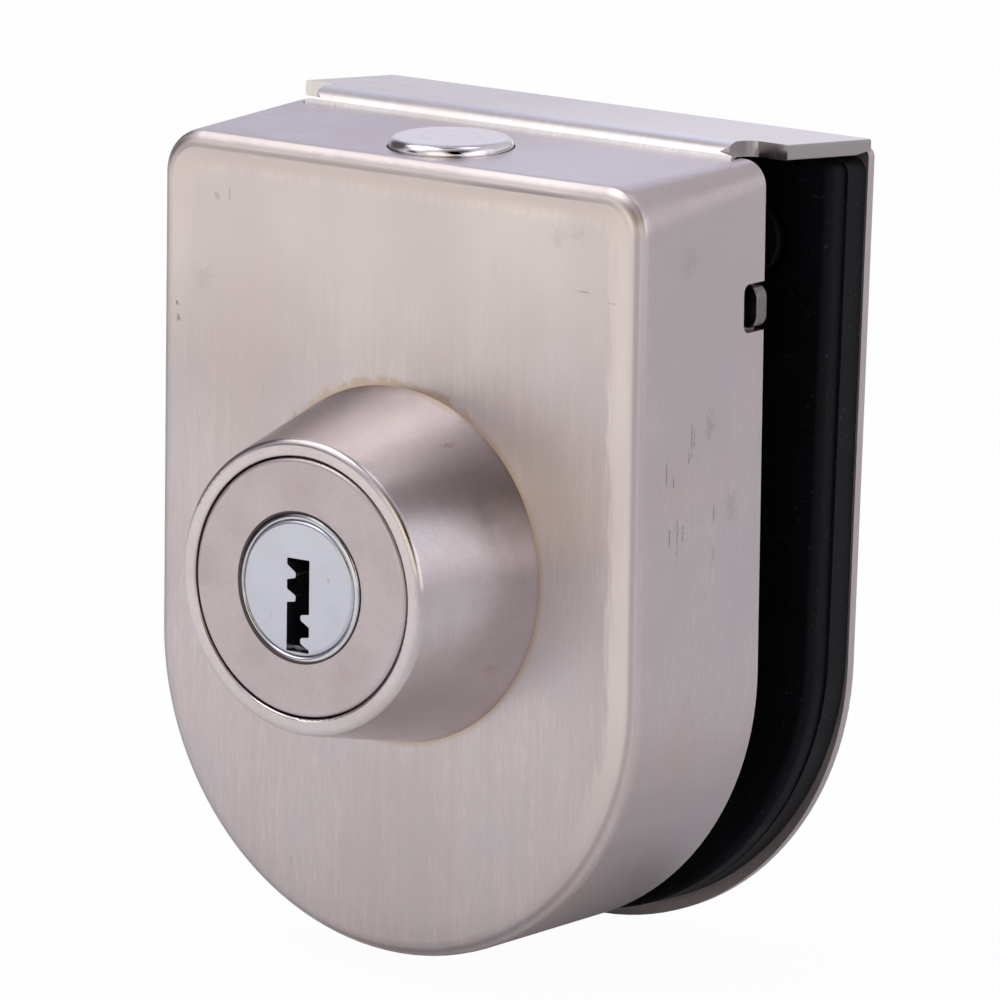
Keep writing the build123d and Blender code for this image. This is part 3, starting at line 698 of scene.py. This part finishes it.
# %% [markdown]
# Inside are plain workshop metals. They show only when the lock is opened up, but each still gets its own
# finish: dull zinc plating with its faint crystal pattern, brass pins and black oxide.


# %% Plain metals
def plain_metal(name, colour, second, metallic, roughness, grain):
    """Metal with a fine two-tone grain; grain is how many spots there are in a metre."""
    material, shader = new_material(name, colour, metallic, roughness)
    tree = material.node_tree
    spots = noise(tree, surface_place(tree), grain, 4.0, 0.6)
    shade = mix(tree, remap(tree, spots, 0.35, 0.7), colour, second)
    dull = remap(tree, spots, 0.3, 0.7, roughness - 0.06, roughness + 0.1)
    plug_in(tree, shader, Base_Color=shade, Roughness=dull, Normal=bump(tree, spots, 0.01 * mm, 0.4))
    return material


zinc = plain_metal("zinc_plating", (0.62, 0.62, 0.60), (0.50, 0.51, 0.50), 1.0, 0.38, 900)
casting = plain_metal("die_cast_zinc", (0.50, 0.50, 0.51), (0.40, 0.40, 0.41), 1.0, 0.5, 1500)
brass = plain_metal("pin_brass", (0.72, 0.55, 0.26), (0.60, 0.44, 0.20), 1.0, 0.3, 1200)
wire = plain_metal("spring_wire", (0.50, 0.50, 0.52), (0.40, 0.40, 0.42), 1.0, 0.3, 2500)
oxide = plain_metal("black_oxide", (0.045, 0.045, 0.05), (0.03, 0.03, 0.03), 0.6, 0.42, 1800)
dress(zinc, "cylinder_nut", "nut_washer", "cam", "crank_pin", "cam_screw", "bolt_tail", "tail_screws")
dress(zinc, "guide_screws", "cover_screws", "cover_posts", "clamp_nuts")
dress(casting, "bolt_guide")
dress(brass, "key_pins", "driver_pins")
dress(wire, "pin_springs")
dress(oxide, "clamp_screw_left", "clamp_screw_right")

# %% [markdown]
# The black parts are three materials: a moulded carrier, hard feet, and the softer pads that touch the glass.
# All are near black, so what tells them apart is how they shine. Rubber has a broad soft sheen and a fine
# skin, and it holds a little pale dust.


# %% Black rubber and plastic
def black_material(name, colour, roughness, gloss, grain, relief, dust):
    """Black rubber or plastic with a moulded skin, and pale dust on it."""
    material, shader = new_material(name, colour, 0.0, roughness)
    tree = material.node_tree
    skin = noise(tree, surface_place(tree), grain, 4.0, 0.6)
    patches = noise(tree, surface_place(tree), 130, 3.0)
    specks = noise(tree, surface_place(tree), 2600, 2.0)
    shade = mix(tree, remap(tree, patches, 0.4, 0.7), colour, tinted(colour, 1.5))
    dusty = times(tree, remap(tree, specks, 0.66, 0.74), dust)
    dusted = mix(tree, dusty, shade, (0.30, 0.30, 0.31))
    shader.inputs["Specular IOR Level"].default_value = gloss
    dull = remap(tree, patches, 0.3, 0.7, roughness - 0.05, roughness + 0.1)
    plug_in(tree, shader, Base_Color=dusted, Roughness=dull, Normal=bump(tree, skin, relief, 0.5))
    return material


pad_rubber = black_material("pad_rubber", (0.003, 0.003, 0.005), 0.5, 0.1, 1400, 0.02 * mm, 0.08)
carrier_plastic = black_material("carrier_plastic", (0.005, 0.005, 0.007), 0.5, 0.12, 2600, 0.015 * mm, 0.12)
foot_plastic = black_material("foot_plastic", (0.004, 0.004, 0.005), 0.5, 0.12, 1800, 0.02 * mm, 0.05)
dress(carrier_plastic, "pad_carrier")
dress(foot_plastic, "clamp_foot_left", "clamp_foot_right")

# %% [markdown]
# The two soft pads are modelled anew in the space that the loaded solids hold. Each starts as one edge loop:
# a point spun through half a turn gives the round foot of the D, and two corners close it at the top. The
# two corners are then rounded with a bevel on the points themselves.

# %% Outline of a pad
arc_steps = 72
corner_steps = 10


def new_piece(name, mesh, material):
    """Turn a finished bmesh into an object with its material."""
    data = bpy.data.meshes.new(name)
    mesh.to_mesh(data)
    mesh.free()
    data.materials.append(material)
    piece = bpy.data.objects.new(name, data)
    bpy.context.scene.collection.objects.link(piece)
    return piece


def d_face(half, top, arc, corner, y):
    """A flat D shaped face at one depth, with rounded top corners."""
    mesh = bmesh.new()
    first = mesh.verts.new((-half, y, arc))
    bmesh.ops.spin(
        mesh,
        geom=[first],
        axis=(0, 1, 0),
        cent=(0, y, arc),
        angle=-math.pi,
        steps=arc_steps,
        use_duplicate=False,
    )
    corners = [mesh.verts.new((-half, y, top)), mesh.verts.new((half, y, top))]
    mesh.verts.ensure_lookup_table()
    low = [vert for vert in mesh.verts if vert not in corners]
    low.sort(key=lambda vert: math.atan2(arc - vert.co.z + 1e-7, -vert.co.x))
    mesh.faces.new(low + [corners[1], corners[0]])
    bmesh.ops.bevel(
        mesh,
        geom=corners,
        offset=corner,
        segments=corner_steps,
        profile=0.5,
        affect="VERTICES",
        material=-1,
    )
    return mesh


print("each step of a pad's round foot turns", math.degrees(math.pi / arc_steps), "degrees")

# %% [markdown]
# The back pad has two round holes for the clamp feet. Cutting a round hole in a face that has many points is
# a job for a boolean, which is applied at once, so that no live modifier and no cutter stays in the scene.

# %% Round holes
hole_steps = 64


def cut_out(piece, mesh):
    """Take the shape in a bmesh out of a piece, with a boolean that is applied at once."""
    tool = new_piece("cutter", mesh, pad_rubber)
    modifier = piece.modifiers.new("cut", "BOOLEAN")
    modifier.operation = "DIFFERENCE"
    modifier.solver = "EXACT"
    modifier.object = tool
    ready = piece.evaluated_get(bpy.context.evaluated_depsgraph_get())
    result = bpy.data.meshes.new_from_object(ready)
    piece.modifiers.remove(modifier)
    old, piece.data = piece.data, result
    bpy.data.meshes.remove(old)
    bpy.data.objects.remove(tool)


def round_tool(x, z, radius, front, rear):
    """Cylinder along Y, longer than the pad is thick, to cut a round hole with."""
    mesh = bmesh.new()
    depth = 3 * abs(rear - front)
    lay_down = Matrix.Rotation(math.pi / 2, 3, "X")
    bmesh.ops.create_cone(
        mesh, cap_ends=True, segments=hole_steps, radius1=radius, radius2=radius, depth=depth
    )
    bmesh.ops.rotate(mesh, verts=mesh.verts, cent=(0, 0, 0), matrix=lay_down)
    bmesh.ops.translate(mesh, verts=mesh.verts, vec=(x, (front + rear) / 2, z))
    bmesh.ops.recalc_face_normals(mesh, faces=mesh.faces)
    return mesh


print("a round hole has", hole_steps, "sides")

# %% [markdown]
# The face inside the outline is drawn out to the pad's thickness, the holes are cut, and every sharp rim of
# the front face is rolled over, as moulded rubber is. The rims are found by the angle between their two
# faces, so the holes' edges are rolled with the outer one.

# %% Soft pads
flat_enough = 1e-7
sharp_rim = 1.0
rim_steps = 6
smooth_below = math.radians(40)


def soft_pad(name, half, top, arc, corner, front, rear, roll, holes=()):
    """Pad between two depths, with round holes, and the rims of its front face rolled over."""
    mesh = d_face(half, top, arc, corner, front)
    walls = bmesh.ops.extrude_face_region(mesh, geom=mesh.faces[:])
    moved = [part for part in walls["geom"] if isinstance(part, bmesh.types.BMVert)]
    bmesh.ops.translate(mesh, verts=moved, vec=(0, rear - front, 0))
    bmesh.ops.recalc_face_normals(mesh, faces=mesh.faces)
    piece = new_piece(name, mesh, pad_rubber)
    for x, z, radius in holes:
        cut_out(piece, round_tool(x, z, radius, front, rear))
    mesh = bmesh.new()
    mesh.from_mesh(piece.data)
    at_front = {vert for vert in mesh.verts if abs(vert.co.y - front) < flat_enough}
    front_edges = [edge for edge in mesh.edges if at_front.issuperset(edge.verts)]
    rims = [edge for edge in front_edges if edge.calc_face_angle(0.0) > sharp_rim]
    bmesh.ops.bevel(
        mesh, geom=rims, offset=roll, segments=rim_steps, profile=0.5, affect="EDGES", material=-1
    )
    bmesh.ops.recalc_face_normals(mesh, faces=mesh.faces)
    mesh.to_mesh(piece.data)
    mesh.free()
    for part in piece.data.polygons:
        part.use_smooth = True
    piece.data.set_sharp_from_angle(angle=smooth_below)
    return piece


def finish_pad(piece, node):
    """The pad stands for its loaded solid and moves with the case."""
    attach(piece, "lock_case")
    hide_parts(node)
    print(node, "is now a form of", len(piece.data.polygons), "faces")


# %% [markdown]
# The front pad is thin and upright, so the box of its loaded solid gives its whole outline. It faces the
# glass, which is behind it, and so its front face is the one with the greater depth.

# %% Front pad
front_pad_low, front_pad_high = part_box("front_pad")
front_form = soft_pad(
    "front_pad_form",
    half=front_pad_high.x,
    top=front_pad_high.z,
    arc=front_pad_low.z + front_pad_high.x,
    corner=3.2 * mm,
    front=front_pad_high.y,
    rear=front_pad_low.y,
    roll=0.3 * mm,
)
finish_pad(front_form, "front_pad")

# %% [markdown]
# The back pad is thick, and it leans with the back plate, by 2.2 degrees about the plate's top front edge. A
# leaning box says little about the sizes inside it, so the pad's are named here. It is modelled upright and
# then leaned, in its mesh, because the object itself has to stay unturned.

# %% Back pad
plate_front_y = 15.7 * mm
plate_top_z = 37.809 * mm
lean_degrees = -2.2
foot_across = 18.6 * mm
foot_drop = 9.0 * mm
foot_hole_radius = 3.65 * mm
foot_holes = [(side * foot_across, plate_top_z - foot_drop, foot_hole_radius) for side in (-1, 1)]
back_form = soft_pad(
    "back_pad_form",
    half=27.5 * mm,
    top=36.9 * mm,
    arc=-10.8 * mm,
    corner=1.5 * mm,
    front=10.3 * mm,
    rear=12.8 * mm,
    roll=0.9 * mm,
    holes=foot_holes,
)
hinge = Matrix.Translation((0, plate_front_y, plate_top_z))
lean = Matrix.Rotation(math.radians(lean_degrees), 4, "X")
back_form.data.transform(hinge @ lean @ hinge.inverted())
finish_pad(back_form, "back_pad")

# %% [markdown]
# The lock stands on a plain pale floor. The floor is a real surface that takes light and shadow. What the
# camera sees of it is nearly all plain white, so that it reads as a white sheet and keeps a soft shadow. The
# metal mirrors the lit sheet itself.

# %% Floor
floor_half = 4.0
plain_white_share = 0.97


def floor_material():
    """Pale sheet: nearly all that the camera sees of it is plain white."""
    material, shader = new_material("pale_floor", (0.86, 0.86, 0.86), 0.0, 0.7)
    tree = material.node_tree
    path = tree.nodes.new("ShaderNodeLightPath")
    white = add(tree, "Emission", {"Color": (1, 1, 1, 1), "Strength": 1.0})
    seen = times(tree, path.outputs["Is Camera Ray"], plain_white_share)
    sheet = add(tree, "MixShader", {0: seen, 1: shader.outputs[0], 2: white})
    tree.links.new(sheet, tree.nodes["Material Output"].inputs["Surface"])
    return material


sheet = bmesh.new()
bmesh.ops.create_grid(sheet, x_segments=4, y_segments=4, size=floor_half)
bmesh.ops.translate(sheet, verts=sheet.verts, vec=(0, 0, cad_low.z))
floor = new_piece("floor", sheet, floor_material())
print("floor at", round(cad_low.z / mm, 2), "mm")

# %% [markdown]
# Steel shows its surroundings, so the light is a room rather than a lamp. The room is drawn in the world's
# nodes as an even grey and a number of broad soft patches, each with a direction, an angle inside which it is
# full, an angle outside which it is gone, and a colour. Some are bright, like softboxes. The others have a
# colour below zero and take light away, as a photographer does with black cards: those give the turned cone
# its dark band, and the rolled edges their contrast.

# %% Patches of the room
room_grey = (0.635, 0.62, 0.66)
softboxes = [
    ((-0.52, -0.25, 0.82), 12, 22, (1.0, 1.02, 0.97)),  # high on the left
    ((-0.46, -0.64, 0.61), 5, 20, (0.65, 0.67, 0.66)),  # front left, half way up
    ((-0.16, -0.5, 0.85), 6, 18, (0.75, 0.85, 0.9)),  # high in front
    ((0.2, 0.23, 0.95), 4, 14, (0.9, 0.9, 0.9)),  # nearly overhead
    ((0.24, -0.96, 0.12), 8, 34, (0.7, 0.62, 0.38)),  # in front, low and warm
    ((0.95, -0.15, 0.2), 6, 30, (0.8, 0.77, 0.8)),  # right, low
    ((0.85, 0.3, 0.42), 5, 24, (0.35, 0.36, 0.38)),  # right and a little behind
    ((0.58, 0.8, 0.05), 10, 35, (0.12, 0.12, 0.12)),  # back right, low and weak
    ((-0.5, 0.86, 0.12), 3, 26, (0.13, 0.12, 0.14)),  # back left, low and weak
    ((-0.5, 0.68, 0.53), 4, 26, (0.1, 0.15, 0.3)),  # back left, higher and blue
]
black_cards = [
    ((0.0, -0.05, 1.0), 3, 12, (-0.45, -0.45, -0.48)),  # straight overhead
    ((0.62, -0.5, 0.6), 10, 32, (-0.51, -0.51, -0.54)),  # front right, high
    ((0.6, -0.74, 0.3), 6, 20, (-0.42, -0.42, -0.45)),  # front right, low
    ((-0.62, -0.78, 0.1), 4, 15, (-0.5, -0.5, -0.52)),  # front left, low
    ((-0.94, 0.0, 0.34), 12, 37, (-0.53, -0.53, -0.56)),  # left
    ((-0.2, 0.5, 0.84), 4, 24, (-0.12, -0.13, -0.16)),  # high behind
]


def patch(tree, view, towards, inner, outer, colour):
    """Soft patch of light in one direction: full inside one angle in degrees, gone outside the other."""
    aim = Vector(towards).normalized()
    closeness = add(tree, "VectorMath", {0: view, 1: tuple(aim)}, "Value", operation="DOT_PRODUCT")
    share = remap(tree, closeness, math.cos(math.radians(outer)), math.cos(math.radians(inner)))
    return add(tree, "VectorMath", {0: colour, "Scale": share}, operation="SCALE")


world = bpy.data.worlds.new("studio")
bpy.context.scene.world = world
world.use_nodes = True
room = world.node_tree
view = add(room, "TexCoord", {}, "Generated")
total = add(room, "CombineXYZ", dict(zip("XYZ", room_grey)))
for towards, inner, outer, colour in softboxes + black_cards:
    total = add(room, "VectorMath", {0: total, 1: patch(room, view, towards, inner, outer, colour)})
background = room.nodes["Background"]
room.links.new(total, background.inputs["Color"])
background.inputs["Strength"].default_value = 1.0
print("room with", len(softboxes), "bright patches and", len(black_cards), "dark ones")

# %% [markdown]
# Two small lamps, with their light kept in a narrow cone, lay pools on the floor to the front and left of the
# lock. The camera sees little of them, but the lower metal mirrors the floor, and the pools warm it there.

# %% Pools of light on the floor
pool_lamp_size = 0.2
pool_lamp_spread = math.radians(80)


def pool_lamp(name, place, aim, power, colour):
    """Small square lamp at a place, turned towards a point, with its light kept together."""
    light = bpy.data.lights.new(name, "AREA")
    light.shape = "RECTANGLE"
    light.size = pool_lamp_size
    light.size_y = pool_lamp_size
    light.spread = pool_lamp_spread
    light.energy = power
    light.color = colour
    lamp = bpy.data.objects.new(name, light)
    lamp.location = place
    lamp.rotation_euler = (Vector(aim) - Vector(place)).to_track_quat("-Z", "Y").to_euler()
    bpy.context.scene.collection.objects.link(lamp)
    print(name, "gives", power, "W")


pool_lamp("near_pool", (-0.15, -0.2, 0.45), (-0.18, -0.24, -0.04), 0.24, (1, 0.98, 0.92))
pool_lamp("far_pool", (-0.3, -0.42, 0.45), (-0.36, -0.5, -0.04), 0.30, (1, 0.92, 0.6))

# %% [markdown]
# The camera stands where the photographer's did: well to the right, a little above, and far away with a
# long lens, which is why the sides of the case look nearly parallel. Its place is built from turns about one
# point on the lock, so that each number has a meaning.

# %% Camera
view_azimuth = 36.45
view_elevation = 11.46
view_roll = 0.74
view_distance = 1105.3 * mm
view_aim = Vector((1.83, -6.45, 4.14)) * mm
lens_length = 422.4
sensor_width = 36.0
camera_data = bpy.data.cameras.new("camera")
camera_data.sensor_width = sensor_width
camera_data.lens = lens_length
camera_data.clip_start = 0.05
camera = bpy.data.objects.new("camera", camera_data)
turn = (
    Matrix.Rotation(math.radians(view_azimuth), 4, "Z")
    @ Matrix.Rotation(math.radians(90 - view_elevation), 4, "X")
    @ Matrix.Rotation(math.radians(view_roll), 4, "Z")
)
camera.matrix_world = Matrix.Translation(view_aim) @ turn @ Matrix.Translation((0, 0, view_distance))
bpy.context.scene.collection.objects.link(camera)
bpy.context.scene.camera = camera
bpy.context.scene.view_settings.view_transform = "Standard"
print("camera at", [round(value / mm) for value in camera.matrix_world.translation], "mm")
